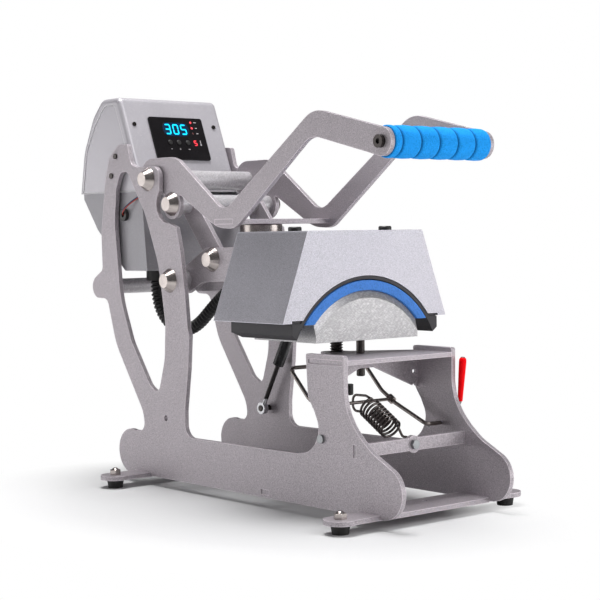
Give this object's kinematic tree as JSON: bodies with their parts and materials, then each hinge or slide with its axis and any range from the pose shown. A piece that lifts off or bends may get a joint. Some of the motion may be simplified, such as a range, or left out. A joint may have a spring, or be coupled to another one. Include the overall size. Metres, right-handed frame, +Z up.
{
  "type": "cap heat press",
  "caption": "Clamshell heat press with a curved platen over a curved cap form, a linked pull-down handle, a gas spring, a hold-down bail and a digital control housing.",
  "frame": {"origin": "on the ground under the middle of the machine's outline", "axes": "+X to the operator's right, +Y from the operator to the rear, +Z up"},
  "size_m": [0.2996, 0.6452, 0.5104],
  "materials": {
    "powder_coat": "fine silver sparkle powder coat",
    "head_coat": "silver powder coat",
    "charcoal_cast": "dark heat-resistant coating on cast aluminium",
    "machined_aluminium": "fine machined",
    "polished_chrome": "polished",
    "black_steel": "black oxide",
    "zinc_steel": "zinc plated",
    "dark_tube": "dark steel",
    "foam_blue": "soft foam",
    "silicone_blue": "textured silicone",
    "red_vinyl": "vinyl sleeve",
    "black_rubber": "moulded",
    "black_plastic": "moulded",
    "housing_paint": "light satin paint",
    "black_gloss": "glossy panel",
    "green_board": "circuit board",
    "spring_steel": "drawn wire"
  },
  "bodies": {
    "frame": {"left_side_plate": "powder_coat", "right_side_plate": "powder_coat", "top_plate": "powder_coat", "tower_apron": "powder_coat", "crossbars": "powder_coat", "zinc_bolts": "zinc_steel", "foot_plates": "powder_coat", "rubber_feet": "black_rubber", "foot_nuts": "zinc_steel", "rear_cross_tube": "dark_tube", "frame_pivot_shafts": "polished_chrome", "frame_pivot_caps": "polished_chrome", "head_pivot_spacers": "zinc_steel", "gas_stud": "zinc_steel", "housing_cover": "housing_paint", "housing_base": "housing_paint", "housing_side_panels": "housing_paint", "display_panel": "black_gloss", "housing_screws": "black_steel", "housing_glands": "black_plastic", "power_inlet": "black_plastic", "control_board": "green_board", "bail_spring": "spring_steel", "heater_hose": "black_rubber"},
    "handle": {"left_handle_plate": "powder_coat", "right_handle_plate": "powder_coat", "handle_cross_plate": "powder_coat", "grip_bar": "black_steel", "grip_foam": "foam_blue", "grip_screws": "black_steel", "handle_cross_tube": "dark_tube", "link_shaft": "polished_chrome", "link_spacers": "zinc_steel"},
    "links": {"left_link": "powder_coat", "right_link": "powder_coat"},
    "head": {"left_arm": "powder_coat", "right_arm": "powder_coat", "arm_studs": "polished_chrome", "arm_cross_tube": "dark_tube", "arm_brace": "powder_coat", "magnet_bracket": "powder_coat", "electromagnet": "polished_chrome", "head_shell": "head_coat", "heater_platen": "charcoal_cast", "heating_element": "zinc_steel", "head_fittings": "black_plastic"},
    "form": {"form_block": "machined_aluminium", "form_pad": "silicone_blue", "guide_pin": "black_steel"},
    "pressure": {"pressure_screw": "zinc_steel", "pressure_knob": "black_plastic"},
    "gas_rod_body": {"gas_rod": "dark_tube"},
    "gas_cylinder_body": {"gas_cylinder": "black_plastic"},
    "bail": {"bail_wire": "spring_steel", "bail_cross_wire": "spring_steel", "lever_sleeve": "red_vinyl"},
    "up_button_body": {"up_button": "black_plastic"},
    "down_button_body": {"down_button": "black_plastic"},
    "set_button_body": {"set_button": "black_plastic"},
    "switch_body": {"power_switch": "black_plastic"}
  },
  "joints": [
    {"name": "handle_swing", "type": "hinge", "parent": "frame", "child": "handle", "pos_m": [0, 0.1459, 0.3985], "axis": [-1, 0, 0], "range_deg": [0, 60]},
    {"name": "head_tilt", "type": "hinge", "parent": "frame", "child": "head", "pos_m": [0, 0.1009, 0.268], "axis": [-1, 0, 0], "range_deg": [0, 45], "deforming": ["heater_hose"]},
    {"name": "link_swing", "type": "hinge", "parent": "handle", "child": "links", "pos_m": [0, 0.1039, 0.3655], "axis": [-1, 0, 0], "range_deg": [-90, 0]},
    {"name": "gas_rod_swing", "type": "hinge", "parent": "frame", "child": "gas_rod_body", "pos_m": [0.071, 0.1144, 0.0908], "axis": [-1, 0, 0], "range_deg": [0, 13]},
    {"name": "gas_cylinder_swing", "type": "hinge", "parent": "head", "child": "gas_cylinder_body", "pos_m": [0.071, 0.0114, 0.272], "axis": [-1, 0, 0], "range_deg": [-33, 0]},
    {"name": "form_lift", "type": "slide", "parent": "frame", "child": "form", "axis": [0, 0, 1], "range_m": [-0.012, 0]},
    {"name": "pressure_turn", "type": "hinge", "parent": "form", "child": "pressure", "pos_m": [0, -0.1186, 0.131], "axis": [0, 0, 1], "range_deg": [-1890, 0]},
    {"name": "bail_swing", "type": "hinge", "parent": "frame", "child": "bail", "pos_m": [0, -0.2116, 0.0975], "axis": [1, 0, 0], "range_deg": [-40, 0], "deforming": ["bail_spring"]},
    {"name": "power_rock", "type": "hinge", "parent": "frame", "child": "switch_body", "pos_m": [0, 0.2962, 0.3557], "axis": [1, 0, 0], "range_deg": [-20, 0]},
    {"name": "up_press", "type": "slide", "parent": "frame", "child": "up_button_body", "axis": [0, 0.9295, -0.3689], "range_m": [0, 0.001], "stiffness_N_per_m": 300, "springref_m": -0.0005},
    {"name": "down_press", "type": "slide", "parent": "frame", "child": "down_button_body", "axis": [0, 0.9295, -0.3689], "range_m": [0, 0.001], "stiffness_N_per_m": 300, "springref_m": -0.0005},
    {"name": "set_press", "type": "slide", "parent": "frame", "child": "set_button_body", "axis": [0, 0.9295, -0.3689], "range_m": [0, 0.001], "stiffness_N_per_m": 300, "springref_m": -0.0005}
  ],
  "couplings": [
    {"joint": "head_tilt", "follows": "handle_swing", "ratio": 0.748},
    {"joint": "link_swing", "follows": "handle_swing", "ratio": -1.4933},
    {"joint": "gas_rod_swing", "follows": "handle_swing", "ratio": 0.21127},
    {"joint": "gas_cylinder_swing", "follows": "handle_swing", "ratio": -0.53707},
    {"joint": "pressure_turn", "follows": "form_lift", "rad_per_m": 2720}
  ]
}
